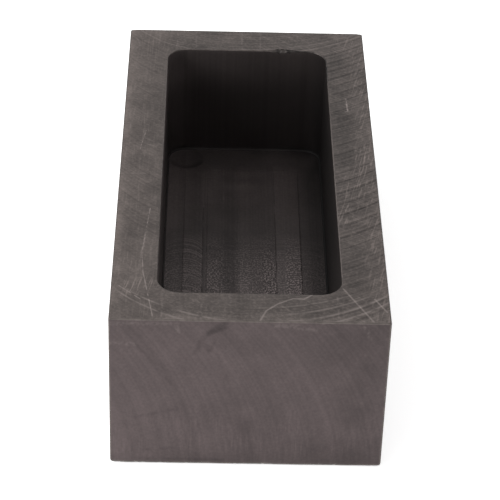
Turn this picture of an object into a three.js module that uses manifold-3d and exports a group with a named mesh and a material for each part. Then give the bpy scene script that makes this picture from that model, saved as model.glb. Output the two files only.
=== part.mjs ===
// Ingot mould: one block of fine-grained graphite with a milled casting cavity, open at the top.
//
// Millimetres, +Z up. X runs across the block, Y along it. The origin is the centre of the base.
// The block is sawn and faced on six sides, then a nosed end mill cuts the cavity: it plunges in
// one corner, clears the floor in lengthwise passes and goes once round the walls to finish them.

import * as THREE from 'three';
import { mergeVertices } from 'three/addons/utils/BufferGeometryUtils.js';
import Module from 'manifold-3d';

const wasm = await Module();
wasm.setup();

// The billet
const BLOCK_WIDTH = 60;
const BLOCK_LENGTH = 125;
const BLOCK_HEIGHT = 40;

// What the cavity leaves standing
const SIDE_WALL = 10;
const END_WALL = 10;
const FLOOR_THICKNESS = 10;

// The cutter sets the radius of the cavity's upright corners and of the foot of its walls
const CUTTER_DIAMETER = 10;
const CUTTER_NOSE_RADIUS = 0.5;

// Edges broken by hand and by use: crisp at the top, more rounded where the block rests and rubs
const TOP_EDGE_BREAK = 0.3;
const RIM_EDGE_BREAK = 0.25;
const UPRIGHT_EDGE_RADIUS = 0.4;
const BASE_EDGE_RADIUS = 0.9;

// Steps that the cutter leaves on the floor
const PASS_STEP = 0.08;
const PLUNGE_STEP = 0.05;

// How far a cutting solid reaches past the surface that it cuts
const OVERRUN = 1;

// Facets
const CORNER_SEGMENTS = 16;
const EDGE_SEGMENTS = 4;
const PLUNGE_SEGMENTS = 48;

// Lengthwise passes over the floor, from the left wall to the right one. Each edge is a share of
// the cavity's width, and each level a share of the pass step, above the finishing pass.
const PASS_EDGE_SHARES = [0.12, 0.24, 0.265, 0.365, 0.455, 0.61, 0.69, 0.75, 0.845];
const PASS_LEVEL_SHARES = [0.5, 0.15, 0.7, 0.35, 0.8, 1, 0.55, 0.85];

const GRAPHITE = { color: 0x5c5452, roughness: 0.55, metalness: 0.0 };

const cutterRadius = CUTTER_DIAMETER / 2;
const cavityWidth = BLOCK_WIDTH - 2 * SIDE_WALL;
const cavityLength = BLOCK_LENGTH - 2 * END_WALL;

// A solid of level rings, one above the other, all with the same count of points.
function loft(rings) {
  const count = rings[0].length;
  const index = [];
  for (let level = 0; level < rings.length - 1; level += 1) {
    for (let i = 0; i < count; i += 1) {
      const a = level * count + i;
      const b = level * count + ((i + 1) % count);
      index.push(a, b, b + count);
      index.push(a, b + count, a + count);
    }
  }
  const top = (rings.length - 1) * count;
  for (const [a, b, c] of THREE.ShapeUtils.triangulateShape(rings[0], [])) {
    index.push(c, b, a);
  }
  for (const [a, b, c] of THREE.ShapeUtils.triangulateShape(rings.at(-1), [])) {
    index.push(top + a, top + b, top + c);
  }
  const geometry = new THREE.BufferGeometry().setFromPoints(rings.flat());
  geometry.setIndex(index);
  return geometry;
}

// A rectangle with rounded corners, counter-clockwise at the height z.
function roundedRing(width, length, radius, z, segments) {
  const corners = [
    [1, 1],
    [-1, 1],
    [-1, -1],
    [1, -1],
  ];
  return corners.flatMap(([sideX, sideY], quarter) => {
    const centre = new THREE.Vector2(
      sideX * (width / 2 - radius),
      sideY * (length / 2 - radius),
    );
    return Array.from({ length: segments + 1 }, (_, step) => {
      const angle = (quarter + step / segments) * (Math.PI / 2);
      return new THREE.Vector3(
        centre.x + radius * Math.cos(angle),
        centre.y + radius * Math.sin(angle),
        z,
      );
    });
  });
}

// Rounding an edge: pairs of how far the surface is drawn in and its distance from the end face.
function quarterRound(radius, segments) {
  return Array.from({ length: segments + 1 }, (_, step) => {
    const angle = (step / segments) * (Math.PI / 2);
    return { inset: radius * (1 - Math.sin(angle)), depth: radius * (1 - Math.cos(angle)) };
  });
}

function toSolid(geometry) {
  geometry.deleteAttribute('normal');
  geometry.deleteAttribute('uv');
  const merged = mergeVertices(geometry);
  return new wasm.Manifold(
    new wasm.Mesh({
      numProp: 3,
      vertProperties: new Float32Array(merged.attributes.position.array),
      triVerts: new Uint32Array(merged.index.array),
    }),
  );
}

function toGeometry(solid) {
  const mesh = solid.getMesh();
  const geometry = new THREE.BufferGeometry();
  geometry.setAttribute('position', new THREE.Float32BufferAttribute(mesh.vertProperties, 3));
  geometry.setIndex(Array.from(mesh.triVerts));
  geometry.computeVertexNormals();
  return geometry;
}

// The faced billet: rounded round the base, upright edges eased, top edge just broken.
function makeBillet() {
  const ring = (inset, z) =>
    roundedRing(
      BLOCK_WIDTH - 2 * inset,
      BLOCK_LENGTH - 2 * inset,
      UPRIGHT_EDGE_RADIUS,
      z,
      EDGE_SEGMENTS,
    );
  const base = quarterRound(BASE_EDGE_RADIUS, EDGE_SEGMENTS);
  const top = quarterRound(TOP_EDGE_BREAK, EDGE_SEGMENTS).reverse();
  return loft([
    ...base.map(({ inset, depth }) => ring(inset, depth)),
    ...top.map(({ inset, depth }) => ring(inset, BLOCK_HEIGHT - depth)),
  ]);
}

// What the finishing pass clears: straight walls, corners of the cutter's radius, a foot rounded by
// its nose and a rim that is eased outwards.
function makeCavity() {
  const ring = (inset, z) =>
    roundedRing(
      cavityWidth - 2 * inset,
      cavityLength - 2 * inset,
      cutterRadius - inset,
      z,
      CORNER_SEGMENTS,
    );
  const foot = quarterRound(CUTTER_NOSE_RADIUS, EDGE_SEGMENTS);
  const rim = quarterRound(RIM_EDGE_BREAK, EDGE_SEGMENTS);
  return loft([
    ...foot.map(({ inset, depth }) => ring(inset, FLOOR_THICKNESS + depth)),
    ...rim.map(({ inset, depth }) => ring(-depth, BLOCK_HEIGHT - inset)),
    ring(-RIM_EDGE_BREAK, BLOCK_HEIGHT + OVERRUN),
  ]);
}

// The low ledges that the lengthwise passes leave between them, as one stepped section drawn out
// along the floor. The finishing pass round the walls cuts them off at both ends.
function makeLedges() {
  const length = cavityLength - 2 * CUTTER_DIAMETER;
  const edges = PASS_EDGE_SHARES.map((share) => (share - 1 / 2) * cavityWidth);
  const section = new THREE.Shape();
  section.moveTo(edges[0], FLOOR_THICKNESS - OVERRUN);
  PASS_LEVEL_SHARES.forEach((levelShare, pass) => {
    const top = FLOOR_THICKNESS + levelShare * PASS_STEP;
    section.lineTo(edges[pass], top);
    section.lineTo(edges[pass + 1], top);
  });
  section.lineTo(edges.at(-1), FLOOR_THICKNESS - OVERRUN);
  section.closePath();
  const ledges = new THREE.ExtrudeGeometry(section, { depth: length, bevelEnabled: false });
  return ledges.rotateX(Math.PI / 2).translate(0, length / 2, 0);
}

// The round mark of the plunge, in the back left corner. The cutter is flat only inside its nose.
function makePlunge() {
  const flatRadius = cutterRadius - CUTTER_NOSE_RADIUS;
  const depth = PLUNGE_STEP + OVERRUN;
  const plunge = new THREE.CylinderGeometry(flatRadius, flatRadius, depth, PLUNGE_SEGMENTS);
  return plunge
    .rotateX(Math.PI / 2)
    .translate(
      cutterRadius - cavityWidth / 2,
      cavityLength / 2 - cutterRadius,
      FLOOR_THICKNESS - PLUNGE_STEP + depth / 2,
    );
}

function makeMouldBlock() {
  const cut = toSolid(makeCavity()).subtract(toSolid(makeLedges())).add(toSolid(makePlunge()));
  const mesh = new THREE.Mesh(
    toGeometry(toSolid(makeBillet()).subtract(cut)),
    new THREE.MeshStandardMaterial(GRAPHITE),
  );
  mesh.name = 'mould_block';
  return mesh;
}

const ingotMould = new THREE.Group();
ingotMould.name = 'ingot_mould';
ingotMould.add(makeMouldBlock());

export default ingotMould;
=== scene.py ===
# %% [markdown]
# # An ingot mould of machined graphite
#
# The mould is one block of graphite with a cavity milled into it. Molten silver or copper is poured in,
# and the bar drops out when the block is turned over. It has no second piece, so all the work here goes
# into one solid and its machined skin: the arcs of the face mill on the top, the passes of the end mill
# on the cavity's floor, the faced sides, and the edges that rub and crumble first.
#
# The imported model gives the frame. Everything is placed in its coordinates, in metres.

# %% Load the frame
import math

import bmesh
import bpy
import numpy as np
from mathutils import Matrix, Vector, geometry, noise


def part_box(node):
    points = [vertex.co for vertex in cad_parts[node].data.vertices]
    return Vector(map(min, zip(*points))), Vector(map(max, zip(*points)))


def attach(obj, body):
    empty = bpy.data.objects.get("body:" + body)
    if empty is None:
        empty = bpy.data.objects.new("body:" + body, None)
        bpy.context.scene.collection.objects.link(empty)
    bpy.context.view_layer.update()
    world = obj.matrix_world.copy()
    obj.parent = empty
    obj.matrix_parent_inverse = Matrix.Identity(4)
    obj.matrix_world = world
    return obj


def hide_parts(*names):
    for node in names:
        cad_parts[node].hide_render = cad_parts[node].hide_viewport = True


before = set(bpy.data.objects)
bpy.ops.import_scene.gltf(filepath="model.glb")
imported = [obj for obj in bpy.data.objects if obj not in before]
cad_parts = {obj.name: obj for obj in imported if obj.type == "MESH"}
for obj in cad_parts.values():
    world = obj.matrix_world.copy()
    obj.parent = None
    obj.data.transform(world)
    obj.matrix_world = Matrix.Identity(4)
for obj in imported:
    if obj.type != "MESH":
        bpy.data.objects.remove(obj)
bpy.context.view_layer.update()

NODE = "mould_block"
MM = 0.001
low, high = (np.array(corner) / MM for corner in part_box(NODE))
width, length, height = high - low
print(f"block: {width:.1f} x {length:.1f} x {height:.1f} mm")

# %% [markdown]
# ## The camera
#
# The photograph looks down on the block from in front and a little to its left, with a long lens held
# not quite level. A tracking constraint could aim the camera, but it would leave out that lean. So the
# camera has three angles and its place in millimetres, and its axes are worked out from them.

# %% Place the camera
TURN, PITCH, LEAN = -0.0269, 0.6116, 0.0336
CAMERA_PLACE = (-10.1, -416.6, 306.8)
FOCAL_LENGTH, SENSOR = 151.3, 36.0

forward = Vector((-math.sin(TURN) * math.cos(PITCH), math.cos(TURN) * math.cos(PITCH), -math.sin(PITCH)))
level = Vector((math.cos(TURN), math.sin(TURN), 0))
upright = level.cross(forward)
right = math.cos(LEAN) * level + math.sin(LEAN) * upright
up = math.cos(LEAN) * upright - math.sin(LEAN) * level

camera = bpy.data.objects.new("camera", bpy.data.cameras.new("camera"))
camera.data.lens, camera.data.sensor_width = FOCAL_LENGTH, SENSOR
turned = Matrix((right, up, -forward)).transposed().to_4x4()
camera.matrix_world = Matrix.Translation(Vector(CAMERA_PLACE) * MM) @ turned
bpy.context.scene.collection.objects.link(camera)
bpy.context.scene.camera = camera
print(f"camera {camera.matrix_world.translation.length:.2f} m from the block's foot")

# %% [markdown]
# ## Sizes of the cavity
#
# The walls and the floor are all 10 mm thick, and the end mill that cut the cavity is 10 mm across, which
# gives the corners their radius. Places on a face are read as a machinist would mark them: millimetres
# from the left edge, then from the back edge. Two small functions turn them into the block's coordinates.

# %% Name the sizes and the places on each face
WALL = 10.0
CUTTER = 10.0
FLOOR_LEVEL = 10.0
CUTTER_NOSE = 0.5
BASE_ROUND, TOP_BREAK, RIM_BREAK, UPRIGHT_ROUND = 0.9, 0.3, 0.25, 0.4

cavity_width = width - 2 * WALL
cavity_length = length - 2 * WALL
block_half = np.array([width, length]) / 2
cavity_half = np.array([cavity_width, cavity_length]) / 2


def on_top(across, back):
    return Vector((across - width / 2, length / 2 - back, height))


def on_floor(across, back):
    return Vector((across - cavity_width / 2, cavity_length / 2 - back, FLOOR_LEVEL))


def on_front(across, down):
    return Vector((across - width / 2, -length / 2, height - down))


print(f"cavity: {cavity_width:.1f} x {cavity_length:.1f} x {height - FLOOR_LEVEL:.1f} mm")

# %% [markdown]
# ## Outlines
#
# A bevel modifier could round the edges, but then every edge would be as perfect as the next. Here the
# block is lofted from level rings, and each point of a ring may have an inset of its own, so the rounding
# can grow and shrink along the edge. One outline is a rectangle with round corners. It is kept as two
# lists: which corner centre each point hangs on, and in which direction it lies from it.

# %% Walk round a rectangle with round corners
SPACING = 0.25


def outline(half, radius):
    """Anchors (shares of the corner centres' rectangle) and directions of the points, counter-clockwise."""
    anchors, directions = [], []
    straight = half - radius
    for quarter, (side_x, side_y) in enumerate(((1, 1), (-1, 1), (-1, -1), (1, -1))):
        steps = max(6, round(radius * math.pi / 2 / SPACING))
        for step in range(steps + 1):
            angle = (quarter + step / steps) * math.pi / 2
            anchors.append((side_x, side_y))
            directions.append((math.cos(angle), math.sin(angle)))
        along = quarter % 2
        steps = round(2 * straight[along] / SPACING)
        for step in range(1, steps):
            share = 1 - 2 * step / steps
            anchors.append((side_x * share, side_y) if along == 0 else (side_x, side_y * share))
            directions.append(directions[-1])
    return np.array(anchors), np.array(directions)


def ring(shape, half, radius, inset, level):
    """One ring of points: the corner centres keep clear of the outline by the radius and the inset."""
    anchors, directions = shape
    inset = np.broadcast_to(inset, len(anchors))[:, None]
    flat = anchors * (half - radius - inset) + directions * radius
    return np.column_stack([flat, np.broadcast_to(level, len(anchors))])


block_outline = outline(block_half, UPRIGHT_ROUND)
cavity_outline = outline(cavity_half, CUTTER / 2)
print(f"{len(block_outline[0])} points round the block, {len(cavity_outline[0])} round the cavity")

# %% [markdown]
# ## Worn edges
#
# Graphite is soft and brittle. Its edges are broken with a file, and later they crumble where the block
# is set down or where tongs grip it. That could be painted, but a worn edge shows in the outline too, so
# the wear goes into the rounding: slow noise makes it vary, quick noise adds crumbs, and a few chips are
# placed where the mould shows them.

# %% Give every point of an edge its own rounding
CRUMB_LENGTH, WEAR_LENGTH = 0.9, 7.0
WEAR_SHARE, CRUMB_SHARE, CRUMB_START = 0.15, 0.35, 0.25
CHIP_SHARE, CHIP_UNEVENNESS = 0.8, 0.5
# Each chip: how far across and back it lies on the plan of the top, its reach and its depth, in mm
RIM_CHIPS = [(37.0, 10.0, 0.5, 0.5), (38.4, 10.0, 0.6, 0.9), (39.8, 10.0, 0.5, 0.8), (41.0, 10.0, 0.4, 0.45)]
TOP_CHIPS = [(0.3, 0.3, 0.9, 0.3), (59.8, 0.2, 0.8, 0.25), (45.2, 125.0, 0.6, 0.12), (8.0, 125.0, 0.7, 0.1)]
BASE_CHIPS = [(0.2, 124.8, 1.6, 0.2), (59.7, 124.8, 1.3, 0.15)]


def edge_wear(points, least, chips, seed):
    """Rounding of an edge at each of its points, in mm, never less than half of the least."""
    worn = []
    for x, y in points[:, :2]:
        slow = noise.noise(Vector((x, y, seed)) / WEAR_LENGTH)
        quick = noise.noise(Vector((x, y, seed)) / CRUMB_LENGTH)
        rounding = least * (1 + WEAR_SHARE * slow + CRUMB_SHARE * max(0, quick - CRUMB_START))
        for across, back, reach, depth in chips:
            gap = (Vector((x, y)) - on_top(across, back).xy).length / reach
            rounding += depth * math.exp(-gap * gap) * (CHIP_SHARE + CHIP_UNEVENNESS * quick)
        worn.append(max(rounding, least / 2))
    return np.array(worn)


block_edge = ring(block_outline, block_half, UPRIGHT_ROUND, 0, 0)
cavity_edge = ring(cavity_outline, cavity_half, CUTTER / 2, 0, 0)
base_wear = edge_wear(block_edge, BASE_ROUND, BASE_CHIPS, seed=1)
top_wear = edge_wear(block_edge, TOP_BREAK, TOP_CHIPS, seed=2)
rim_wear = edge_wear(cavity_edge, RIM_BREAK, RIM_CHIPS, seed=3)
print(f"rim rounding {rim_wear.min():.2f} to {rim_wear.max():.2f} mm")

# %% [markdown]
# ## Rings of the outside and of the cavity
#
# A quarter of a circle rounds each edge. A ring that only holds the flat wall straight stands close to
# each rounding, so that the smooth shading of the rounding does not creep into the wall.

# %% Stack the rings
ROUNDING_STEPS = 5
HOLD = 0.3
quarter_turn = np.linspace(0, math.pi / 2, ROUNDING_STEPS + 1)
quarter_round = [(1 - math.cos(angle), 1 - math.sin(angle)) for angle in quarter_turn]


def block_ring(inset, level):
    return ring(block_outline, block_half, UPRIGHT_ROUND, inset, level)


def cavity_ring(growth, level):
    anchors, directions = cavity_outline
    reach = np.broadcast_to(CUTTER / 2 + growth, len(anchors))[:, None]
    flat = anchors * (cavity_half - CUTTER / 2) + directions * reach
    return np.column_stack([flat, np.broadcast_to(level, len(anchors))])


outside_rings = [
    *[block_ring(base_wear * rise, base_wear * run) for run, rise in quarter_round],
    block_ring(0, base_wear.max() + HOLD),
    block_ring(0, height - top_wear.max() - HOLD),
    *[block_ring(top_wear * run, height - top_wear * rise) for run, rise in quarter_round],
]
cavity_rings = [
    *[cavity_ring(-CUTTER_NOSE * rise, FLOOR_LEVEL + CUTTER_NOSE * run) for run, rise in quarter_round],
    cavity_ring(0, FLOOR_LEVEL + CUTTER_NOSE + HOLD),
    cavity_ring(0, height - rim_wear.max() - HOLD),
    *[cavity_ring(rim_wear * run, height - rim_wear * rise) for run, rise in quarter_round],
]
print(f"{len(outside_rings)} rings outside, {len(cavity_rings)} in the cavity")

# %% [markdown]
# ## From rings to a mesh
#
# Neighbouring rings are joined by quads. The rounded strips are shaded smooth and the flat faces flat,
# so each flat stays a true plane up to its rounding. Every face also gets the number of its finish here,
# because the finish belongs to the operation that cut the face.

# %% Join the rings
FINISHES = [
    "milled_top", "faced_end", "faced_flank", "ground_base", "milled_wall", "milled_floor", "worn_edge",
]
STRAIGHT = 0.999  # a point of the outline belongs to a straight side if its direction is this near an axis
mesh = bmesh.new()


def join_rings(rings, inwards, finish_of):
    """Quads between rings; finish_of(level, direction) names the finish of each."""
    loops = [[mesh.verts.new(Vector(point) * MM) for point in points] for points in rings]
    for level, (lower, upper) in enumerate(zip(loops, loops[1:])):
        for i in range(len(lower)):
            corners = [lower[i - 1], lower[i], upper[i], upper[i - 1]]
            face = mesh.faces.new(corners[::-1] if inwards else corners)
            face.smooth = True
            face.material_index = FINISHES.index(finish_of(level, i))
    return loops


def outside_finish(level, i):
    if level not in (ROUNDING_STEPS, ROUNDING_STEPS + 1, ROUNDING_STEPS + 2):
        return "worn_edge"
    direction = np.abs(block_outline[1][i])
    if direction.max() < STRAIGHT:
        return "worn_edge"
    return "faced_flank" if direction[0] > direction[1] else "faced_end"


def cavity_finish(level, _):
    return "worn_edge" if level > ROUNDING_STEPS + 2 else "milled_wall"


outside_loops = join_rings(outside_rings, False, outside_finish)
cavity_loops = join_rings(cavity_rings, True, cavity_finish)
print(f"{len(mesh.faces)} quads round the block and the cavity")

# %% [markdown]
# ## The flat faces
#
# The top, the base and the floor are plane areas between loops of points. A Delaunay triangulation that
# keeps the loops' edges fills such an area without adding any point, but it also fills the holes and the
# notches outside a wavy border. Here a triangle is left out if all its three corners come from one hole's
# loop. That is exact only for loops that bulge nowhere, and worn ones do. So thin slivers stay outside the
# border of the top and the base, and small gaps open beside the rim, most at its chips. Asking of each
# triangle whether its middle lies inside the border and outside the holes would be exact.

# %% Fill the top and the base
INSIDE_ONLY, WELD_DISTANCE = 1, 1e-7


def fill(border, holes, finish, facing):
    """Triangles between a loop of points and the loops inside it, facing up (1) or down (-1)."""
    loops = [border, *holes]
    points = [point for loop in loops for point in loop]
    owner = [number for number, loop in enumerate(loops) for _ in loop]
    edges, first = [], 0
    for loop in loops:
        edges += [(first + i, first + (i + 1) % len(loop)) for i in range(len(loop))]
        first += len(loop)
    flat = [point.co.xy / MM for point in points]
    triangles = geometry.delaunay_2d_cdt(flat, edges, [], INSIDE_ONLY, WELD_DISTANCE, True)
    source = [originals[0] for originals in triangles[3]]
    made = 0
    for triangle in triangles[2]:
        corners = [source[i] for i in triangle]
        owners = {owner[i] for i in corners}
        if len(owners) > 1 or owners == {0}:
            face = mesh.faces.new([points[i] for i in corners][::facing])
            face.material_index = FINISHES.index(finish)
            made += 1
    return made


top_count = fill(outside_loops[-1], [cavity_loops[-1]], "milled_top", 1)
base_count = fill(outside_loops[0], [], "ground_base", -1)
print(f"top {top_count} faces, base {base_count}")

# %% [markdown]
# ## The milled floor
#
# The cutter clears the floor in lengthwise passes and then runs once round the walls. No two passes lie
# at quite the same depth, so low ledges stay between them, a few hundredths of a millimetre high. The
# field of passes is a grid whose columns stand in pairs, one at the foot and one at the head of each
# ledge. Behind it the plunge mark is a shallow dish, as wide as the flat part of the cutter.

# %% Mill the floor
# The edges of the passes in mm from the left wall, and their levels above the finishing pass in mm
PASS_EDGES = [4.8, 9.6, 10.6, 14.6, 18.2, 24.4, 27.6, 30.0, 33.8]
PASS_LEVELS = [0.04, 0.012, 0.056, 0.028, 0.064, 0.08, 0.044, 0.068]
PLUNGE_DEPTH = 0.05
PLUNGE_CLEARANCE = 0.04
LEDGE_RUN = 0.3
ROW_SPACING = 1.0
PLUNGE_POINTS = 96


def floor_field():
    """Grid of (across, back, level) for the lengthwise passes, level with the floor all round."""
    columns, levels = [], []
    for place, before, after in zip(PASS_EDGES, [0] + PASS_LEVELS, PASS_LEVELS + [0]):
        columns += [place - LEDGE_RUN / 2, place + LEDGE_RUN / 2]
        levels += [before, after]
    start, end = CUTTER, cavity_length - CUTTER
    rows = np.linspace(start + LEDGE_RUN, end - LEDGE_RUN, round((end - start) / ROW_SPACING))
    rows = [start, *rows, end]
    inside = [v not in (start, end) for v in rows]
    return [
        [on_floor(u, v) + Vector((0, 0, lift * lifted)) for u, lift in zip(columns, levels)]
        for v, lifted in zip(rows, inside)
    ]


grid = [[mesh.verts.new(point * MM) for point in row] for row in floor_field()]
for near, far in zip(grid, grid[1:]):
    for i in range(len(near) - 1):
        face = mesh.faces.new([near[i], far[i], far[i + 1], near[i + 1]])
        face.material_index = FINISHES.index("milled_floor")
right_side = [row[-1] for row in grid[1:-1]]
left_side = [row[0] for row in grid[1:-1]]
field_border = [*grid[0], *right_side, *grid[-1][::-1], *left_side[::-1]]

plunge_centre = on_floor(CUTTER / 2, CUTTER / 2)
plunge_radius = CUTTER / 2 - CUTTER_NOSE - PLUNGE_CLEARANCE


def plunge_loop(radius, depth):
    turns = np.linspace(0, 2 * math.pi, PLUNGE_POINTS, endpoint=False)
    points = [plunge_centre + Vector((radius * math.cos(a), radius * math.sin(a), -depth)) for a in turns]
    return [mesh.verts.new(point * MM) for point in points]


dish_rim = plunge_loop(plunge_radius, 0)
dish_floor = plunge_loop(plunge_radius - LEDGE_RUN, PLUNGE_DEPTH)
for i in range(PLUNGE_POINTS):
    face = mesh.faces.new([dish_rim[i - 1], dish_rim[i], dish_floor[i], dish_floor[i - 1]])
    face.material_index = FINISHES.index("milled_floor")
fill(cavity_loops[0], [field_border, dish_rim], "milled_floor", 1)
fill(dish_floor, [], "milled_floor", 1)
print(f"floor with {len(PASS_LEVELS)} passes, {len(mesh.faces)} faces in all")

# %% [markdown]
# ## The block's object
#
# The finished mesh becomes one object. In a closed solid every edge joins exactly two faces. The count
# printed here is not zero, because of the slivers and gaps that the fills leave, so this mesh is fit for
# pictures but not for a machine that needs a closed one.

# %% Make the block's object
block = bpy.data.objects.new("graphite_block", bpy.data.meshes.new("graphite_block"))
mesh.to_mesh(block.data)
open_edges = sum(not edge.is_manifold for edge in mesh.edges)
mesh.free()
bpy.context.scene.collection.objects.link(block)
print(f"{len(block.data.polygons)} faces, {open_edges} edges that do not join just two faces")

# %% [markdown]
# ## Building shaders
#
# A shader is a tree of nodes. One small function adds a node, sets it up, links its inputs and gives
# back one of its outputs, so the pattern functions below read like sums. Colours are written as sRGB hex
# values, as a colour picker shows them, and turned into the linear values that the renderer works in.

# %% Define the two helpers of every material


def linear(hex_colour):
    """The linear colour of an sRGB hex value, by the curve of the sRGB standard."""
    channels = [int(hex_colour[i : i + 2], 16) / 255 for i in (1, 3, 5)]
    return (*[c / 12.92 if c <= 0.04045 else ((c + 0.055) / 1.055) ** 2.4 for c in channels], 1.0)


def add(tree, kind, inputs=None, out=0, **settings):
    """Adds a node, with its inputs linked or set by name or number, and gives back one output."""
    node = tree.nodes.new("ShaderNode" + kind)
    for name, value in settings.items():
        setattr(node, name, value)
    for key, value in (inputs or {}).items():
        if isinstance(value, bpy.types.NodeSocket):
            tree.links.new(value, node.inputs[key])
        else:
            node.inputs[key].default_value = value
    return node.outputs[out] if node.outputs else None


print("graphite is", [round(c, 4) for c in linear("#2e2b2a")[:3]])

# %% [markdown]
# ## Marks of a turning cutter
#
# A face mill is a disc of teeth that turns while it travels. Each tooth leaves an arc with the radius of
# the disc, and the next one leaves the same arc a feed further on. So the pattern does not depend on where
# a point is, but on how far the cutter had travelled when its edge passed that point: the place along the
# travel plus the rise of the arc there. Noise along that one number gives arcs of any spacing, and deeper
# grooves are places on it that lie a feed apart.

# %% Patterns that cutters leave
FAR_AWAY = 1000.0


def cutter_travel(tree, along, across, centre, radius, side=1):
    """How far the cutter had come when its leading (1) or trailing (-1) edge passed here, in mm."""
    offset = add(tree, "Math", {0: across, 1: centre}, operation="SUBTRACT")
    square = add(tree, "Math", {0: offset, 1: offset}, operation="MULTIPLY")
    rise = add(tree, "Math", {0: radius * radius, 1: square}, operation="SUBTRACT")
    rise = add(tree, "Math", {0: rise, 1: 0.0}, operation="MAXIMUM")
    rise = add(tree, "Math", {0: rise}, operation="SQRT")
    return add(tree, "Math", {0: rise, 1: float(side), 2: along}, operation="MULTIPLY_ADD")


def ripple(tree, travel, pitch, detail=1.0):
    """Arcs of random strength about one pitch apart, 0 to 1."""
    inputs = {"W": travel, "Scale": 1 / pitch, "Detail": detail}
    return add(tree, "TexNoise", inputs, noise_dimensions="1D")


def grooves(tree, travel, places, breadth):
    """Single arcs: 1 where the travel is one of the places, fading to 0 at the breadth."""
    nearest = FAR_AWAY
    for groove in places:
        gap = add(tree, "Math", {0: travel, 1: groove}, operation="SUBTRACT")
        gap = add(tree, "Math", {0: gap}, operation="ABSOLUTE")
        nearest = add(tree, "Math", {0: gap, 1: nearest}, operation="MINIMUM")
    return fade(tree, nearest, breadth, 0.0)


def fade(tree, value, start, end):
    """0 at the start, 1 at the end and smooth between them."""
    return add(tree, "MapRange", {0: value, 1: start, 2: end}, interpolation_type="SMOOTHSTEP")


def between(tree, value, start, end, first=0.0, last=1.0):
    """A level that runs straight from the first one at the start to the last one at the end."""
    return add(tree, "MapRange", {0: value, 1: start, 2: end, 3: first, 4: last})


def by_place(tree, value, points):
    """A level that changes with a value, straight from each (value, level) point to the next.

    The ramp keeps the levels in its alpha channel, whose output is a plain number.
    """
    first, last = points[0][0], points[-1][0]
    ramp = add(tree, "ValToRGB", {0: between(tree, value, first, last)}).node
    stops = ramp.color_ramp.elements
    stops.remove(stops[-1])
    for place, level in points:
        position = (place - first) / (last - first)
        stop = stops.new(position) if position else stops[0]
        stop.color = (1.0, 1.0, 1.0, level)
    return ramp.outputs[1]


def times(tree, *factors):
    product = factors[0]
    for factor in factors[1:]:
        product = add(tree, "Math", {0: product, 1: factor}, operation="MULTIPLY")
    return product


def weigh(tree, *parts):
    """The sum of patterns, each times its own weight."""
    total = 0.0
    for weight, pattern in parts:
        total = add(tree, "Math", {0: pattern, 1: weight, 2: total}, operation="MULTIPLY_ADD")
    return total


print("cutter patterns are ready")

# %% [markdown]
# ## Marks of handling
#
# Single scratches are placed one by one where the mould has them, as lines from point to point. Bundles of
# fine parallel scratches would need hundreds of lines, so they are noise that is stretched along one
# direction and cut off so high that only thin slivers of it stay.

# %% Patterns that handling leaves


def patches(tree, place, size, start, end):
    """Soft patches of about one size, 0 to 1, that let a mark come and go."""
    pattern = add(tree, "TexNoise", {"Vector": place, "Scale": 1 / size, "Detail": 2.0})
    return fade(tree, pattern, start, end)


def hatch(tree, place, axis, lean, pitch, run, start=0.56, end=0.72):
    """Fine parallel scratches on the face across an axis, leaning by an angle from the face's upright."""
    turned = add(tree, "VectorRotate", {"Vector": place, "Angle": lean}, rotation_type=axis + "_AXIS")
    shrink = (1 / pitch, 1 / run, 1 / run)
    stretched = add(tree, "VectorMath", {0: turned, 1: shrink}, operation="MULTIPLY")
    return fade(tree, add(tree, "TexNoise", {"Vector": stretched, "Scale": 1.0, "Detail": 1.0}), start, end)


def strokes(tree, place, lines, breadth):
    """Single scratches through the points of each line, 1 on the line and 0 at the breadth from it."""
    nearest = FAR_AWAY
    for line in lines:
        for start, end in zip(line, line[1:]):
            run = end - start
            offset = add(tree, "VectorMath", {0: place, 1: start}, operation="SUBTRACT")
            inputs = {0: offset, 1: run / run.length_squared}
            share = add(tree, "VectorMath", inputs, "Value", operation="DOT_PRODUCT")
            share = add(tree, "Math", {0: share, 1: 0.0}, operation="MAXIMUM")
            share = add(tree, "Math", {0: share, 1: 1.0}, operation="MINIMUM")
            foot = add(tree, "VectorMath", {0: run, "Scale": share}, operation="SCALE")
            gap = add(tree, "VectorMath", {0: offset, 1: foot}, "Value", operation="DISTANCE")
            nearest = add(tree, "Math", {0: gap, 1: nearest}, operation="MINIMUM")
    return fade(tree, nearest, breadth, 0.0)


def placed(where, *lines):
    """Turns lists of (across, back) or (across, down) into lines of points on a face."""
    return [[where(*point) for point in line] for line in lines]


print("handling patterns are ready")

# %% [markdown]
# ## Machined graphite
#
# Mould graphite is pressed from fine powder, baked, and cut dry. It is a semi-metal: it conducts, and the
# sheen of its smeared surface has its own dark warm grey. Most of what the eye sees is that sheen, bright
# only where it mirrors something bright. That is why the top, which mirrors the pale room, looks mid grey,
# while the cavity's far wall, which mirrors only the dark floor, is nearly black. A mostly metallic
# shader with a dark colour does the same. Every finish below shares it and adds what its cutter left.

# %% Make the shared graphite shader
RUBBED = "#8f8581"
GRAIN_SIZE = 0.6  # the real grain is under 0.02 mm; it is drawn coarser so that it shows at all
CLOUD_SIZE = 9.0
CLOUD_TONE = 0.3
GRAIN_RELIEF = 0.004
GRAPHITE_IOR = 1.6
GRAPHITE_METALLIC = 0.7


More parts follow.
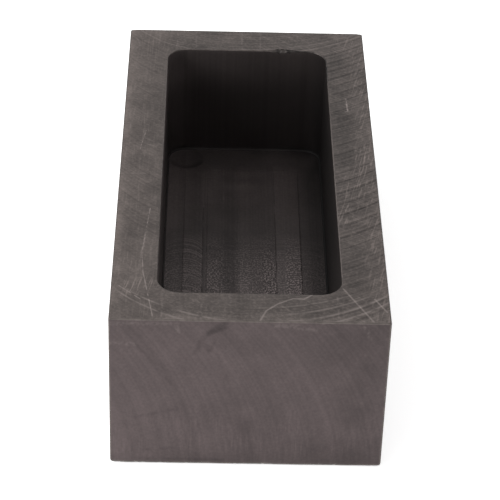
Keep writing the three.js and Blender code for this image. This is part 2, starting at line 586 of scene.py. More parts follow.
def graphite(name, colour, grain_tone, finish):
    """A material whose finish(tree, place) gives tone, rubbed share, roughness and relief in mm."""
    material = bpy.data.materials.new(name)
    material.use_nodes = True
    tree = material.node_tree
    tree.nodes.clear()
    place = add(tree, "TexCoord", out="Object")
    place = add(tree, "VectorMath", {0: place, "Scale": 1 / MM}, operation="SCALE")
    tone, rubbed, roughness, relief = finish(tree, place)
    grain = add(tree, "TexNoise", {"Vector": place, "Scale": 1 / GRAIN_SIZE, "Detail": 1.0})
    cloud = add(tree, "TexNoise", {"Vector": place, "Scale": 1 / CLOUD_SIZE, "Detail": 3.0})
    even = 1 - (grain_tone + CLOUD_TONE) / 2
    mottle = weigh(tree, (grain_tone, grain), (CLOUD_TONE, cloud), (1.0, even))
    strength = times(tree, tone, mottle)
    colour = add(tree, "VectorMath", {0: linear(colour)[:3], "Scale": strength}, operation="SCALE")
    colour = add(tree, "Mix", {0: rubbed, 6: colour, 7: linear(RUBBED)}, 2, data_type="RGBA")
    relief = times(tree, weigh(tree, (1.0, relief), (GRAIN_RELIEF, grain)), MM)
    normal = add(tree, "Bump", {"Height": relief, "Strength": 1.0, "Distance": 1.0})
    shader = add(tree, "BsdfPrincipled", {
        "Base Color": colour, "Roughness": roughness, "Normal": normal,
        "IOR": GRAPHITE_IOR, "Metallic": GRAPHITE_METALLIC,
    })
    add(tree, "OutputMaterial", {0: shader})
    return material


print(f"graphite: IOR {GRAPHITE_IOR}, metallic {GRAPHITE_METALLIC}, grain drawn at {GRAIN_SIZE} mm")

# %% [markdown]
# ## How the top was milled
#
# A face mill 92 mm across went along the block's middle. It left a deeper groove every 4.0 mm, then every 4.5
# and then every 3.3 mm, as if it had been fed by hand, and a raised burr of smeared graphite in front of
# each. On its way out it left two light arcs on the back rim. Coming back, a smaller mill touched the front
# rim and left lighter and darker arcs there every 2.65 mm. On the left the arcs stand steeper, as those of a
# mill do whose middle ran further right. Each groove could be drawn as a line of its own, but that takes a
# long list of places. A start, a feed and a count say the same in three numbers.

# %% Work out where the mills' arcs lie
FACE_MILL_RADIUS, FACE_MILL_CENTRE = 46.0, 0.0
LEFT_MILL_RADIUS, LEFT_MILL_CENTRE = 44.0, 6.0
RETURN_MILL_RADIUS, RETURN_MILL_CENTRE = 42.0, 2.0
FEED_STRETCHES = [(95.6, 4.0), (32.4, 4.5), (1.2, 3.3)]  # where each starts along the travel, and its feed
LAST_GROOVE = -21.4
BURR_OFFSET = 1.1
EXIT_FEED, EXIT_COUNT = 2.2, 2
RETURN_START, RETURN_FEED, RETURN_COUNT = -12.9, 2.65, 5
RETURN_LAG = 1.4
CAVITY_LEFT, CAVITY_FRONT = (float(edge) for edge in -cavity_half)


def fed(start, feed, count):
    """Places of arcs that lie one feed apart."""
    return [start - feed * number for number in range(count)]


def fed_by_hand(stretches, last):
    """Places of grooves that run from each stretch's start to the next at about its own feed."""
    places = []
    for (start, feed), (end, _) in zip(stretches, [*stretches[1:], (last, 0)]):
        count = round((start - end) / feed)
        places += fed(start, (start - end) / count, count)
    return [*places, last]


def arc_height(radius, offset):
    """How far a mill's edge runs ahead of its centre, at an offset to the side."""
    return math.sqrt(radius**2 - offset**2)


GROOVES = fed_by_hand(FEED_STRETCHES, LAST_GROOVE)
BURRS = [place + BURR_OFFSET for place in GROOVES]
BACK_ARCS = fed(BURRS[0], -EXIT_FEED, EXIT_COUNT)
RETURN_BURRS = fed(RETURN_START, RETURN_FEED, RETURN_COUNT)
RETURN_GROOVES = fed(RETURN_START - RETURN_LAG, RETURN_FEED, RETURN_COUNT)
# Shifts the left mill's arcs so that they meet the face mill's at the cavity's left edge
MEETING_SHIFT = arc_height(FACE_MILL_RADIUS, CAVITY_LEFT - FACE_MILL_CENTRE) - arc_height(
    LEFT_MILL_RADIUS, CAVITY_LEFT - LEFT_MILL_CENTRE
)
print(f"{len(GROOVES)} grooves, {GROOVES[0]} to {GROOVES[-1]} mm; left arcs shifted {MEETING_SHIFT:.2f} mm")

# %% [markdown]
# ## Marks of use on the top
#
# The mould has been set down, gripped and scraped clean. Each mark is a line from point to point, in
# millimetres from the left and from the back edge, placed to match the photograph. Scratches and
# gouges lay the graphite bare and shine, and scuffs only rub it. Bands are broad and soft: they say where
# scratches bundle. Lights, edge lights and shades are broad and soft too: they are painted light along
# the top's outer edges and in its back corners, and painted shade in a few patches.

# %% Place the marks
TOP_SCRATCHES = placed(
    on_top, [(7.6, 83), (6.3, 100), (6.8, 108), (9.5, 125)], [(1.8, 113), (6.4, 117.6)],
    [(54.3, 33), (54.6, 39.4)], [(5.6, 49.5), (4.4, 58)],
)
TOP_GOUGES = placed(
    on_top,
    [(32, 125), (33.4, 121.2), (36, 118.6), (39.2, 116.7), (41.6, 116.8), (43.4, 115.2)],
    [(50.2, 112.8), (56.4, 125)],
    [(56.8, 116.4), (59.2, 121)],
    [(54.3, 35.5), (54.5, 39), (53.9, 39.3)],
)
TOP_SCUFFS = placed(
    on_top,
    [(2.2, 44), (1.6, 49)], [(5.5, 53), (9.5, 56)], [(5.5, 55.5), (9.5, 57.5)],
    [(0.5, 68.6), (7, 68.5)], [(2.6, 3.4), (3.9, 6.4), (1.7, 10.2)], [(1.2, 3), (3.4, 10)],
    [(7.3, 92), (5.2, 110)], [(6.2, 100), (5, 114)], [(44, 10.2), (50, 8.2), (55, 5.5), (59.4, 1.9)],
    [(40, 7.9), (46, 6.6), (50, 5.2), (55, 2.5), (58, 0.4)], [(12.2, 0.5), (12.2, 9)], [(17, 0.5), (17, 9)],
    [(33.5, 0.5), (33.5, 9)], [(28.8, 1), (28.8, 9)], [(14, 9.5), (36, 9.5)], [(54, 11), (56.6, 12.2)],
    [(11.2, 115.5), (11.2, 124.5)], [(48.8, 115), (48.8, 124.5)], [(19.6, 119), (19.6, 124.5)],
)
RUBBED_BANDS = placed(
    on_top, [(54.5, 1), (58.5, 10), (58.5, 60)], [(58.8, 62), (58.5, 123)], [(4, 114), (7, 112)],
)
HATCHED_BANDS = placed(on_top, [(57.5, 58), (54.5, 71), (51.5, 87)])
# Painted light along the top's outer edges and in its back corners
TOP_LIGHTS = placed(
    on_top, [(0.5, 1), (14, 1)], [(54, 1), (59.5, 1)], [(13, 125), (25, 125)], [(33, 125), (59, 125)],
    [(0, 8), (0, 118)],
)
# Painted highlights along the top's outer edges
EDGE_LIGHTS = placed(
    on_top, [(0, 0), (0, 12)], [(0, 30), (0, 50)], [(0, 84), (0, 99)], [(60, 0), (60, 15)],
    [(60, 46), (60, 66)], [(60, 114), (60, 125)], [(10, 125), (60, 125)],
)
# Painted shade in a few soft patches, most on the right rim
TOP_SHADES = placed(
    on_top, [(52, 14), (52.4, 62)], [(18, 10), (30, 10)], [(52, 26), (59, 28)], [(53, 83), (58, 83)],
)
print(f"{len(TOP_SCRATCHES)} scratches, {len(TOP_GOUGES)} gouges and {len(TOP_SCUFFS)} scuffs on the top")

# %% [markdown]
# ## The finish of the top
#
# The cut is strongest on the right, where the teeth came out of it. The left is marked more faintly, with
# fine scratches over it, and long bundles of steep ones lie over the right side. One table says how strongly
# the mill marked the top along its travel, and another how the top lightens toward the left, where the
# softbox stands. Some of that lightness is the photograph's light and not the graphite's, but here it is in
# the material. The material is near the limit of what Cycles takes in one shader. Past it the top renders
# black without an error, so after each change it is worth a look.

# %% Finish the top
CUT_STRENGTH = [
    (-25, 0.95), (-19, 0.5), (-6, 0.35), (0, 0.6), (12, 0.7), (18, 1.1), (30, 1.2), (36, 0.6), (44, 0.4),
    (56, 0.4), (62, 0.55), (80, 0.6), (86, 0.8), (98, 0.75),
]
TOP_TONE_ACROSS = [(-30, 1.22), (-20, 1.08), (-10, 0.97), (30, 0.8)]
LEFT_CUT_SHARE = 0.26
GROOVE_BREADTH, BURR_BREADTH, EXIT_BREADTH = 0.6, 0.8, 0.35
RETURN_BURR_BREADTH, RETURN_GROOVE_BREADTH = 0.5, 0.6
RUBBED_BREADTH, HATCHED_BREADTH = 5.0, 4.0
LIGHT_BREADTH, EDGE_LIGHT_BREADTH, SHADE_BREADTH = 4.0, 2.5, 4.5
SCRATCH_BREADTH, GOUGE_BREADTH, SCUFF_BREADTH = 0.22, 0.34, 0.4
FINE_PITCH, CROSSING_PITCH, SLOW_PITCH = 0.8, 1.1, 3.0
MIST_SIZE, SPECKLE_SIZE = 0.4, 0.7
# Each hatch: its lean, the scratches' pitch and length in mm, and the noise where one starts and is full
STEEP_HATCH, UPRIGHT_HATCH = (0.22, 0.42, 5.0, 0.5, 0.7), (0.03, 0.45, 7.0, 0.52, 0.7)
SLANTED_HATCH = (-0.8, 0.6, 7.0)
# Where a mark fades in, from the first place to the second, in mm across or along the travel
TO_THE_RIGHT, TO_THE_LEFT = (12.0, 24.0), (CAVITY_LEFT + 2, CAVITY_LEFT - 2)
TO_THE_FRONT = (CAVITY_FRONT + 1.5, CAVITY_FRONT - 1.5)
EARLY_ARCS, LATE_ARCS, EARLY_STRENGTH = (-5.0, 18.0), (-18.9, -19.9), 0.7


def milled_top(tree, place):
    x, y, _ = add(tree, "SeparateXYZ", {0: place}).node.outputs
    travel = cutter_travel(tree, y, x, FACE_MILL_CENTRE, FACE_MILL_RADIUS)
    left_travel = cutter_travel(tree, y, x, LEFT_MILL_CENTRE, LEFT_MILL_RADIUS)
    left_travel = add(tree, "Math", {0: left_travel, 1: MEETING_SHIFT}, operation="ADD")
    travel = add(tree, "Math", {0: travel, 1: left_travel}, operation="MINIMUM")
    trailing_travel = cutter_travel(tree, y, x, FACE_MILL_CENTRE, FACE_MILL_RADIUS, -1)
    return_travel = cutter_travel(tree, y, x, RETURN_MILL_CENTRE, RETURN_MILL_RADIUS)
    on_right, on_left = fade(tree, x, *TO_THE_RIGHT), fade(tree, x, *TO_THE_LEFT)
    on_front_rim = fade(tree, y, *TO_THE_FRONT)
    sharp = between(tree, x, -20.0, 10.0, 0.3, 1.0)

    cut_share = weigh(tree, (1.0, on_right), (LEFT_CUT_SHARE, on_left))
    cut_share = times(tree, cut_share, by_place(tree, travel, CUT_STRENGTH))
    groove = grooves(tree, travel, GROOVES, GROOVE_BREADTH)
    groove = times(tree, groove, cut_share, patches(tree, place, 6, 0.2, 0.45))
    burr = grooves(tree, travel, BURRS, BURR_BREADTH)
    burr = times(tree, burr, cut_share, patches(tree, place, 4, 0.3, 0.55))
    fine = times(tree, fade(tree, ripple(tree, travel, FINE_PITCH, 2.0), 0.36, 0.64), sharp)
    slow = times(tree, ripple(tree, travel, SLOW_PITCH), sharp, sharp)
    crossing = fade(tree, ripple(tree, trailing_travel, CROSSING_PITCH, 2.0), 0.45, 0.7)
    crossing = times(tree, crossing, patches(tree, place, 8, 0.45, 0.6), sharp)
    mist = patches(tree, place, MIST_SIZE, 0.4, 0.65)
    speckle = patches(tree, place, SPECKLE_SIZE, 0.42, 0.68)
    speckle = times(tree, speckle, weigh(tree, (1.0, 1.0), (-0.5, on_left)))

    early = times(tree, fade(tree, x, *EARLY_ARCS), EARLY_STRENGTH)
    bright = add(tree, "Math", {0: early, 1: fade(tree, return_travel, *LATE_ARCS)}, operation="MAXIMUM")
    bright = times(tree, bright, grooves(tree, return_travel, RETURN_BURRS, RETURN_BURR_BREADTH))
    exit_arcs = grooves(tree, travel, BACK_ARCS, EXIT_BREADTH)
    bright = weigh(tree, (on_front_rim, bright), (0.6, exit_arcs))
    bright = times(tree, bright, patches(tree, place, 4, 0.3, 0.55))
    dull = grooves(tree, return_travel, RETURN_GROOVES, RETURN_GROOVE_BREADTH)
    dull = times(tree, dull, on_front_rim, on_right)

    rubbed_band = strokes(tree, place, RUBBED_BANDS, RUBBED_BREADTH)
    hatched_band = strokes(tree, place, HATCHED_BANDS, HATCHED_BREADTH)
    steep = weigh(tree, (0.8, rubbed_band), (1.0, hatched_band))
    steep = times(tree, hatch(tree, place, "Z", *STEEP_HATCH), steep)
    upright = times(tree, hatch(tree, place, "Z", *UPRIGHT_HATCH), weigh(tree, (0.3, on_left), (1.0, 0.3)))
    upright = times(tree, upright, patches(tree, place, 10, 0.3, 0.6))
    slanted = times(tree, hatch(tree, place, "Z", *SLANTED_HATCH), patches(tree, place, 12, 0.4, 0.6), sharp)
    scratched = strokes(tree, place, TOP_SCRATCHES, SCRATCH_BREADTH)
    scratched = times(tree, scratched, patches(tree, place, 1.1, 0.35, 0.6))
    gouged = strokes(tree, place, TOP_GOUGES, GOUGE_BREADTH)
    gouged = times(tree, gouged, patches(tree, place, 1.6, 0.15, 0.5))
    scuffed = strokes(tree, place, TOP_SCUFFS, SCUFF_BREADTH)
    scuffed = times(tree, scuffed, patches(tree, place, 1.6, 0.38, 0.62))

    # Painted light (lit, edge_lit) and painted shade (shaded), summed into worn with the real rubbed bands
    lit = strokes(tree, place, TOP_LIGHTS, LIGHT_BREADTH)
    edge_lit = strokes(tree, place, EDGE_LIGHTS, EDGE_LIGHT_BREADTH)
    shaded = strokes(tree, place, TOP_SHADES, SHADE_BREADTH)
    worn = weigh(
        tree, (0.2, rubbed_band), (0.1, hatched_band), (0.3, lit), (0.3, edge_lit), (-0.22, shaded),
        (0.5, patches(tree, place, 6, 0.2, 0.8)), (1.0, -0.25),
    )
    lines = weigh(tree, (1.15, steep), (0.45, upright), (0.4, slanted), (0.22, crossing))
    tone = weigh(
        tree, (1.0, 0.8), (0.28, fine), (0.14, slow), (0.38, speckle), (0.1, mist), (-0.5, groove),
        (0.45, burr), (-0.2, dull), (1.0, lines), (1.0, worn), (0.065, on_left),
    )
    rubbed = weigh(tree, (0.75, scratched), (0.6, gouged), (0.24, scuffed), (0.46, bright))
    roughness = weigh(tree, (1.0, 0.54), (-0.06, fine), (0.1, groove))
    relief = weigh(tree, (0.006, fine), (-0.02, groove), (0.008, burr), (-0.01, scratched), (0.006, speckle))
    return times(tree, tone, by_place(tree, x, TOP_TONE_ACROSS)), rubbed, roughness, relief


print(f"{len(CUT_STRENGTH)} levels of cut along the top, {CUT_STRENGTH[0][0]} to {CUT_STRENGTH[-1][0]} mm")

# %% [markdown]
# ## The faced sides
#
# The sides were faced with a larger cutter whose centre ran just below the base, so its arcs lean over
# the face and stand upright at the foot. They are soft and broad, with fine lines among them. A grey
# smudge and a few rubs cross the front. Painted shade makes the front darker to the right, away from
# the softbox, and at the foot, and lies in a few soft patches, most on the right. The front is also a
# little darker toward the top.

# %% Finish the ends and the flanks
SIDE_CUTTER_RADIUS, SIDE_CUTTER_CENTRE = 66.0, -4.0
BROAD_PITCH, FACING_PITCH, FOOT_PITCH, FOOT_LENGTH = 5.0, 1.0, 0.45, 6.0
STAIN_BREADTH, RUB_BREADTH, FRONT_SHADE_BREADTH, FRONT_SCUFF_BREADTH = 1.1, 0.7, 8.0, 0.8
FRONT_DEPTH = 1.0  # the front's own marks end this far behind it
FRONT_STAINS = placed(on_front, [(25, 0.4), (21.6, 3.2)], [(24.6, 1.8), (22.4, 2.8)])
FRONT_SMUDGES = placed(on_front, [(21.8, 3), (19.6, 5.6), (18.8, 8.6)], [(19.8, 5), (21.4, 8)])
FRONT_RUBS = placed(
    on_front, [(5.4, 6), (10, 12), (13.4, 17.4)], [(23, 9), (25.4, 15)], [(4, 27), (15, 24)],
    [(5, 38.4), (25, 38.5)], [(7, 36), (15, 35)], [(23, 4.4), (21.8, 8)],
)
FRONT_SHADES = placed(
    on_front, [(56, 4), (54, 26)], [(46, 35), (59, 36)], [(28, 22), (31, 34)], [(47, 3), (53, 12)],
)
FRONT_SCUFFS = placed(
    on_front,
    [(35, 1.0), (44, 2.0)], [(36, 0.8), (41, 1.0)], [(0.6, 1.2), (13, 0.9)], [(0.5, 6.4), (5.5, 6.6)],
    [(54.4, 1), (55.6, 4)], [(14.5, 1), (14.8, 3.2)],
)


def front_marks(tree, place, y):
    """Stains with patches of painted shade, and scuffs; both end just behind the front, so the back stays
    unmarked.
    """
    on_end = fade(tree, y, -length / 2 + FRONT_DEPTH, -length / 2)
    stain = strokes(tree, place, FRONT_STAINS, STAIN_BREADTH)
    stain = times(tree, stain, patches(tree, place, 1.4, 0.1, 0.6))
    smudge = strokes(tree, place, FRONT_SMUDGES, STAIN_BREADTH)
    smudge = times(tree, smudge, patches(tree, place, 2, 0.2, 0.7))
    rub = times(tree, strokes(tree, place, FRONT_RUBS, RUB_BREADTH), patches(tree, place, 3, 0.3, 0.6))
    # FRONT_SHADES are soft patches of painted shade, most on the right of the front
    shade = strokes(tree, place, FRONT_SHADES, FRONT_SHADE_BREADTH)
    shade = times(tree, shade, patches(tree, place, 4, 0.2, 0.6))
    stained_and_shaded = weigh(tree, (0.3, stain), (0.22, smudge), (0.12, rub), (0.13, shade))
    scuffed = strokes(tree, place, FRONT_SCUFFS, FRONT_SCUFF_BREADTH)
    scuffed = times(tree, scuffed, patches(tree, place, 1.2, 0.35, 0.65), on_end, 0.12)
    return times(tree, stained_and_shaded, on_end), scuffed


def faced_side(axis, front=False):
    """The finish of a side whose length runs along the given axis; the front has marks of its own."""

    def finish(tree, place):
        x, y, z = add(tree, "SeparateXYZ", {0: place}).node.outputs
        along, across_axis = (x, "Y") if axis == "X" else (y, "X")
        travel = cutter_travel(tree, along, z, SIDE_CUTTER_CENTRE, SIDE_CUTTER_RADIUS, -1)
        broad = ripple(tree, travel, BROAD_PITCH, 3.0)
        fine = fade(tree, ripple(tree, travel, FACING_PITCH, 2.0), 0.3, 0.7)
        foot = hatch(tree, place, across_axis, 0.0, FOOT_PITCH, FOOT_LENGTH, 0.45, 0.7)
        foot = times(tree, foot, fade(tree, z, 20.0, 8.0), patches(tree, place, 8, 0.35, 0.6))
        mottle = patches(tree, place, 5, 0.3, 0.7)
        tone = weigh(tree, (1.0, 0.73), (0.36, broad), (0.1, mottle), (0.09, fine), (0.16, foot))
        stained_and_shaded, scuffed = front_marks(tree, place, y) if front else (0.0, 0.0)
        if front:
            # Painted shade: the front darkens to the right, away from the softbox, and at its foot; it is
            # also darker toward the top
            to_the_right = between(tree, x, -30.0, 30.0, 0.98, 0.92)
            to_the_top = between(tree, z, 24.0, 36.0, 0.95, 0.89)
            from_the_foot = between(tree, z, 0.5, 5.0, 0.88, 1.0)
            tone = times(tree, tone, to_the_right, to_the_top, from_the_foot)
        tone = weigh(tree, (1.0, tone), (-1.0, stained_and_shaded))
        roughness = weigh(tree, (1.0, 0.55), (-0.1, broad), (0.3, stained_and_shaded))
        return tone, scuffed, roughness, weigh(tree, (0.012, broad), (0.004, fine))

    return finish


print(f"{len(FRONT_STAINS) + len(FRONT_SMUDGES) + len(FRONT_RUBS) + len(FRONT_SCUFFS)} marks on the front")

# %% [markdown]
# ## The ground base
#
# Nobody sees the base, but a mould has to stand level, so it is finely ground, with a few rubs from the
# bench. Even noise with no direction is enough for that.

# %% Finish the base
GRINDING_SIZE, BENCH_RUB_SIZE, BENCH_RUB = 1.5, 9, 0.12


def ground_base(tree, place):
    fine = add(tree, "TexNoise", {"Vector": place, "Scale": 1 / GRINDING_SIZE, "Detail": 3.0})
    rubbed = times(tree, patches(tree, place, BENCH_RUB_SIZE, 0.5, 0.8), BENCH_RUB)
    return weigh(tree, (1.0, 0.85), (0.3, fine)), rubbed, 0.55, weigh(tree, (0.008, fine))


print(f"ground base, grain {GRINDING_SIZE} mm")

# %% [markdown]
# ## The milled walls of the cavity
#
# The side of the end mill left the walls smooth, with faint upright lines. Painted shade darkens them
# from the rim down and most at their foot, which is also duller. Painted light makes the left wall light
# and the right one nearly black, and lights the back left corner. A table across the cavity puts this
# light in the material, because the plain shader leaves the walls too even.

# %% Finish the walls
WALL_FEED_PITCH = 1.1
# Painted light and shade across the cavity: the left wall light, the right one nearly black
WALL_TONE_ACROSS = [(-20, 2.1), (-16, 1.4), (5, 1.15), (14, 1.36), (17, 0.75), (20, 0.36)]
# Painted shade at the walls' foot, by place across the cavity
FOOT_TONE_ACROSS = [(-20, 0.5), (-16, 0.4), (-12, 0.9), (8, 0.9), (13, 0.3)]
WALL_FOOT = (FLOOR_LEVEL + 0.5, FLOOR_LEVEL + 1.5)
FOOT_ROUGHNESS, WALL_ROUGHNESS = 0.75, 0.46


def milled_wall(tree, place):
    x, y, z = add(tree, "SeparateXYZ", {0: place}).node.outputs
    girth = add(tree, "Math", {0: x, 1: y}, operation="ADD")
    feed = ripple(tree, girth, WALL_FEED_PITCH, 2.0)
    # Painted shade that deepens from the rim down
    painted_depth_shade = weigh(tree, (1.0, 0.37), (0.45, fade(tree, z, 26.0, 39.0)))
    # Painted shade at the foot, where the walls meet the floor
    foot = between(tree, z, *WALL_FOOT, by_place(tree, x, FOOT_TONE_ACROSS), 1.0)
    # Painted light in the back left corner
    in_corner = times(tree, fade(tree, x, -10.0, -19.0), fade(tree, y, 40.0, 48.0))
    in_corner = times(tree, in_corner, fade(tree, z, 38.0, 31.0), fade(tree, z, 8.0, 24.0))
    corner_light = weigh(tree, (1.0, 1.0), (0.55, in_corner))
    # Painted light and shade across the cavity
    side = by_place(tree, x, WALL_TONE_ACROSS)
    tone = times(tree, weigh(tree, (1.0, 0.85), (0.3, feed)), painted_depth_shade, foot, side, corner_light)
    roughness = between(tree, z, *WALL_FOOT, FOOT_ROUGHNESS, WALL_ROUGHNESS)
    return tone, 0.0, roughness, weigh(tree, (0.004, feed))


print(f"walls: roughness {WALL_ROUGHNESS}, {FOOT_ROUGHNESS} at the foot")

# %% [markdown]
# ## The milled floor
#
# The end of the cutter left small arcs, half as wide as a pass. Some passes are smoother than others, and
# the smooth ones are lighter, partly by a painted sheen. Toward the front, where the real floor mirrors
# the sky, a painted reflection lightens the floor further, its arcs show lighter and painted glints
# sparkle in the passes; the back part is painted lighter too. Painted shade darkens the far right corner
# and the foot of the back wall, painted light lightens the far left, and dark lines of painted shade
# stand along some ledges. The floor is also darker round the plunge mark. Marks could be modelled one by
# one, but the passes differ in the same few ways, so one colour ramp across the floor holds a row of
# numbers for each stretch. The glints grow toward the front with the place and not with the view, so
# from above the front half of the floor looks lighter than a real one would.

# %% Finish the floor
# Each stretch: its left edge, how softly it starts (mm), how smooth it is, its arcs, its glints, and where
# the cutter's middle ran (mm from the left wall)
STRETCH_LOOKS = [
    (0.0, 0.2, 0.72, 0.35, 0.3, 5.0), (3.6, 0.8, 0.6, 0.3, 0.2, 5.0),
    (PASS_EDGES[0], 0.2, 0.54, 0.9, 0.4, 5.0),
    (PASS_EDGES[1], 0.2, 0.55, 0.1, 0.1, 5.0), (PASS_EDGES[2], 0.8, 0.56, 0.3, 0.65, 10.0),
    (PASS_EDGES[3], 2.2, 0.42, 0.3, 0.25, 15.0), (PASS_EDGES[4], 1.8, 0.7, 0.2, 0.55, 19.0),
    (21.2, 1.6, 0.6, 0.3, 0.5, 24.0), (PASS_EDGES[5], 0.8, 0.57, 0.3, 1.0, 24.0),
    (PASS_EDGES[6], 0.2, 0.78, 0.3, 0.35, 29.0), (PASS_EDGES[7], 0.4, 0.74, 0.3, 0.95, 35.0),
    (PASS_EDGES[8], 0.3, 0.44, 0.15, 0.25, 35.0), (35.6, 2.2, 0.22, 0.15, 0.15, 35.0),
]
# Painted shade along some ledges
DARK_LINES = placed(on_floor, [(9.6, 28), (9.6, 94)], [(27.7, 11), (27.7, 94)], [(33.8, 11), (33.8, 94)])
FLOOR_LIGHTS = placed(
    on_floor, [(12.4, 11), (12.4, 18)], [(16.4, 12), (24, 12)], [(16.4, 18), (22, 18)],
    [(10.8, 12), (10.8, 24)], [(19.4, 60), (19.4, 64)],
)
FLOOR_SHADES = placed(on_floor, [(15, 29), (21, 29)], [(15, 42), (15, 58)])
# Painted shade along the foot of the back wall, on its right
FOOT_SHADES = placed(on_floor, [(24, 0), (40, 1), (40, 8)])
LIGHT_LINES = placed(
    on_floor,
    [(9.7, 10), (9.7, 17)], [(30, 10), (30, 15)], [(14.7, 10), (14.7, 24)], [(34, 52.7), (37, 52.3)],
)
FLOOR_TONE_ACROSS = [(-20, 0.8), (-15.3, 0.8), (-15.1, 1.0), (16, 1.0), (20, 0.65)]
ARC_PITCH, FLOOR_FEED_PITCH, GLINT_SIZE = 0.75, 0.6, 0.42
LINE_BREADTH, FLOOR_LIGHT_BREADTH, FLOOR_SHADE_BREADTH, FOOT_SHADE_BREADTH = 0.3, 3.0, 6.0, 5.0
END_PASS = cavity_length / 2 - CUTTER  # where the pass along the back wall ends
FINISHING_SMOOTHNESS = 0.5


def floor_ramp(tree, across):
    """The row of numbers of each stretch of the floor: a colour, and the cutter's middle in its alpha."""
    ramp = add(tree, "ValToRGB", {0: times(tree, across, 1 / cavity_width)}).node
    stops = ramp.color_ramp.elements
    stops.remove(stops[-1])
    for start, soft, smooth, arcs, glints, centre in STRETCH_LOOKS:
        if start:
            before = tuple(stops[-1].color)
            stops.new((start - soft / 2) / cavity_width).color = before
            stops.new((start + soft / 2) / cavity_width)
        stops[-1].color = (smooth, arcs, glints, centre / cavity_width)
    return ramp.outputs


def floor_shading_and_plunge(tree, place, x, y):
    """Painted light far left, painted shade far right and at the back wall's foot;
    darker round the plunge and by the side walls.
    """
    # Painted light far left and painted shade far right
    far_left = times(tree, fade(tree, x, -12.0, -20.0), fade(tree, y, 5.0, 16.0))
    far_right = times(tree, fade(tree, x, 6.0, 18.0), fade(tree, y, 14.0, 34.0))
    to_plunge = add(tree, "VectorMath", {0: place, 1: plunge_centre}, "Value", operation="DISTANCE")
    plunge = fade(tree, to_plunge, plunge_radius + LEDGE_RUN, plunge_radius)
    front_half = fade(tree, y, plunge_centre.y, plunge_centre.y - 2.5)
    crescent = times(tree, plunge, fade(tree, to_plunge, 2.5, 4.0), front_half)
    shading_and_plunge = weigh(
        tree, (1.0, 1.0), (-0.5, far_right), (0.8, far_left), (-0.15, plunge), (-0.4, crescent),
        (0.2, strokes(tree, place, FLOOR_LIGHTS, FLOOR_LIGHT_BREADTH)),
        (-0.14, strokes(tree, place, FLOOR_SHADES, FLOOR_SHADE_BREADTH)),
        (-0.25, strokes(tree, place, FOOT_SHADES, FOOT_SHADE_BREADTH)),
    )
    return times(tree, shading_and_plunge, by_place(tree, x, FLOOR_TONE_ACROSS))


def milled_floor(tree, place):
    x, y, _ = add(tree, "SeparateXYZ", {0: place}).node.outputs
    across = add(tree, "Math", {0: x, 1: cavity_width / 2}, operation="ADD")
    row, middle = floor_ramp(tree, across)
    smooth, arcs, glints = add(tree, "SeparateColor", {0: row}).node.outputs
    travel = cutter_travel(tree, y, across, times(tree, middle, cavity_width), CUTTER / 2, -1)
    # The arcs show lighter only toward the front, where the real floor mirrors the sky: partly a painted
    # glint
    arcs = times(tree, fade(tree, ripple(tree, travel, ARC_PITCH), 0.45, 0.6), arcs, fade(tree, y, 15.0, 8.0))
    # Painted glints, which grow toward the front
    glinting = times(tree, glints, fade(tree, y, 18.0, -8.0), patches(tree, place, 5, 0.15, 0.5))
    glints = times(tree, patches(tree, place, GLINT_SIZE, 0.46, 0.62), glinting)
    on_passes = fade(tree, y, END_PASS + 3.5, END_PASS - 1)
    feed = fade(tree, ripple(tree, across, FLOOR_FEED_PITCH, 2.0), 0.3, 0.7)
    feed = times(tree, feed, on_passes, patches(tree, place, 5, 0.3, 0.6))
    # Dark lines of painted shade along some ledges
    dark = times(tree, strokes(tree, place, DARK_LINES, LINE_BREADTH), patches(tree, place, 8, 0.3, 0.5))
    light = times(tree, strokes(tree, place, LIGHT_LINES, LINE_BREADTH), patches(tree, place, 3, 0.35, 0.6))
    smooth = add(tree, "Mix", {0: on_passes, 2: FINISHING_SMOOTHNESS, 3: smooth}, 0)
    # Painted light on the back part of the floor, and a painted reflection of the sky on the front part
    painted_back_light = between(tree, y, 14.0, 34.0, 1.0, 1.9)
    painted_front_sheen = between(tree, y, 8.0, -10.0, 1.0, 1.35)
    # Smooth passes are lighter, partly a painted sheen
    tone = weigh(tree, (1.0, 0.16), (0.85, smooth), (0.11, feed), (-0.25, dark))
    tone = times(tree, tone, painted_back_light, painted_front_sheen, floor_shading_and_plunge(tree, place, x, y))
    tone = weigh(tree, (1.0, tone), (0.7, arcs), (2.9, glints), (-0.35, glinting))
    roughness = weigh(tree, (1.0, 0.6), (-0.25, smooth), (0.2, dark))
    relief = weigh(tree, (0.008, arcs), (0.012, glints), (0.004, feed), (-0.02, dark))
    return tone, times(tree, light, 0.15), roughness, relief


print(f"{len(STRETCH_LOOKS)} stretches over {len(PASS_LEVELS)} passes on the floor")

# %% [markdown]
# ## The worn edges
#
# The edges are burnished a little lighter in patches where the block is handled, with crumbs broken out
# of them. Painted highlights run along the rim's two long sides and the front edge, and painted shade
# darkens the back right corner of the rim.

# %% Finish the edges
# Painted highlights along the rim's two long inner edges and the front top edge
EDGE_HIGHLIGHTS = placed(on_top, [(10, 15), (10, 62)], [(50, 45), (50, 108)], [(1, 125), (59, 125)])
# Painted shade in the back right corner of the rim
EDGE_SHADE = placed(on_top, [(38, 10), (45, 10), (48.4, 11.5), (50, 15), (50, 24)])
EDGE_CRUMB_SIZE, EDGE_HIGHLIGHT_BREADTH, EDGE_SHADE_BREADTH, EDGE_RUB_AND_HIGHLIGHT = 0.6, 1.0, 2.0, 0.16


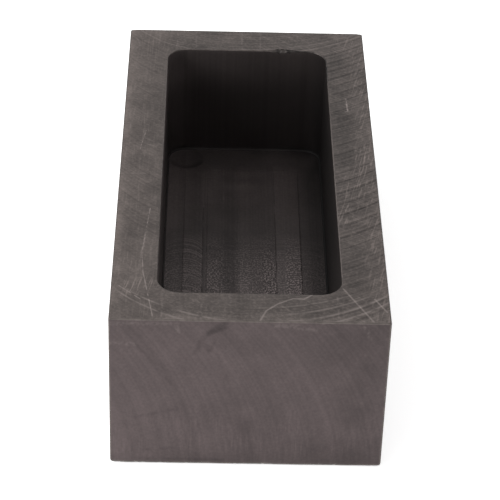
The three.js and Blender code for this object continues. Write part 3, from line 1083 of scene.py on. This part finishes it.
def worn_edge(tree, place):
    crumbs = add(tree, "TexNoise", {"Vector": place, "Scale": 1 / EDGE_CRUMB_SIZE, "Detail": 3.0})
    # Painted highlights along the listed edges
    highlighted = strokes(tree, place, EDGE_HIGHLIGHTS, EDGE_HIGHLIGHT_BREADTH)
    # rubbed holds patches of real wear and the painted highlights
    rubbed = weigh(tree, (1.0, patches(tree, place, 2.5, 0.4, 0.65)), (1.0, highlighted))
    # Painted shade in the back right corner of the rim
    painted_edge_shade = strokes(tree, place, EDGE_SHADE, EDGE_SHADE_BREADTH)
    tone = weigh(tree, (1.0, 0.6), (0.6, crumbs), (-0.75, painted_edge_shade))
    return tone, times(tree, rubbed, EDGE_RUB_AND_HIGHLIGHT), 0.5, weigh(tree, (0.03, crumbs))


print(f"{len(EDGE_HIGHLIGHTS)} burnished stretches of edge")

# %% [markdown]
# ## All finishes on the block
#
# Each finish becomes one material, in the order of the numbers that the faces got when they were joined.
# The colours are close to one another, because it is the same graphite all over: the top is a little
# lighter where the mill smeared it, and the sides are a little warmer.

# %% Put the materials on the block
TOP_COLOUR, SIDE_COLOUR, CAVITY_COLOUR = "#524b48", "#4e4444", "#4e4746"
finishes = {
    "milled_top": (TOP_COLOUR, 0.5, milled_top),
    "faced_end": (SIDE_COLOUR, 0.4, faced_side("X", front=True)),
    "faced_flank": (SIDE_COLOUR, 0.4, faced_side("Y")),
    "ground_base": (SIDE_COLOUR, 0.2, ground_base),
    "milled_wall": (CAVITY_COLOUR, 0.1, milled_wall),
    "milled_floor": (CAVITY_COLOUR, 0.5, milled_floor),
    "worn_edge": (TOP_COLOUR, 0.3, worn_edge),
}
for name in FINISHES:
    block.data.materials.append(graphite("graphite_" + name, *finishes[name]))
print([material.name for material in block.data.materials])

# %% [markdown]
# ## The room
#
# The photograph was taken on white, with light from all round and more of it from the left. The ground is
# a sheet of opal acrylic lit from below, which photographers use to keep it free of shadows. An even sky
# gives the top something to mirror, and one softbox close to the left shapes the block.

# %% Lay the ground and hang the softbox
GROUND_SIZE = 8.0
GROUND_COLOUR = "#f4f4f4"
GROUND_ROUGHNESS = 0.9
GROUND_GLOW = 0.6
SKY_STRENGTH = 0.75
SOFTBOX_PLACE, SOFTBOX_SIZE, SOFTBOX_POWER = (-0.45, -0.1, 0.35), 0.3, 3.4


def glowing_ground():
    material = bpy.data.materials.new("opal_acrylic")
    material.use_nodes = True
    inputs = material.node_tree.nodes["Principled BSDF"].inputs
    inputs["Base Color"].default_value = linear(GROUND_COLOUR)
    inputs["Roughness"].default_value = GROUND_ROUGHNESS
    inputs["Emission Color"].default_value = linear(GROUND_COLOUR)
    inputs["Emission Strength"].default_value = GROUND_GLOW
    return material


reach = GROUND_SIZE / 2
ground = bpy.data.objects.new("ground", bpy.data.meshes.new("ground"))
corners = [(-reach, -reach, 0), (reach, -reach, 0), (reach, reach, 0), (-reach, reach, 0)]
ground.data.from_pydata(corners, [], [(0, 1, 2, 3)])
ground.data.materials.append(glowing_ground())
bpy.context.scene.collection.objects.link(ground)

sky = bpy.data.worlds.new("sky")
sky.use_nodes = True
sky.node_tree.nodes["Background"].inputs["Color"].default_value = (1, 1, 1, 1)
sky.node_tree.nodes["Background"].inputs["Strength"].default_value = SKY_STRENGTH
bpy.context.scene.world = sky

softbox = bpy.data.objects.new("softbox", bpy.data.lights.new("softbox", "AREA"))
softbox.data.size, softbox.data.energy = SOFTBOX_SIZE, SOFTBOX_POWER
softbox.location = SOFTBOX_PLACE
softbox.rotation_euler = (-Vector(SOFTBOX_PLACE)).to_track_quat("-Z", "Y").to_euler()
bpy.context.scene.collection.objects.link(softbox)

bpy.context.scene.view_settings.view_transform = "Standard"
print(f"sky {SKY_STRENGTH}, ground glow {GROUND_GLOW}, softbox {SOFTBOX_POWER} W")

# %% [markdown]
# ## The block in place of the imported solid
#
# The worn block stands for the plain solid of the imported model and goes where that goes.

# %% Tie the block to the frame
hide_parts(NODE)
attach(block, "root")
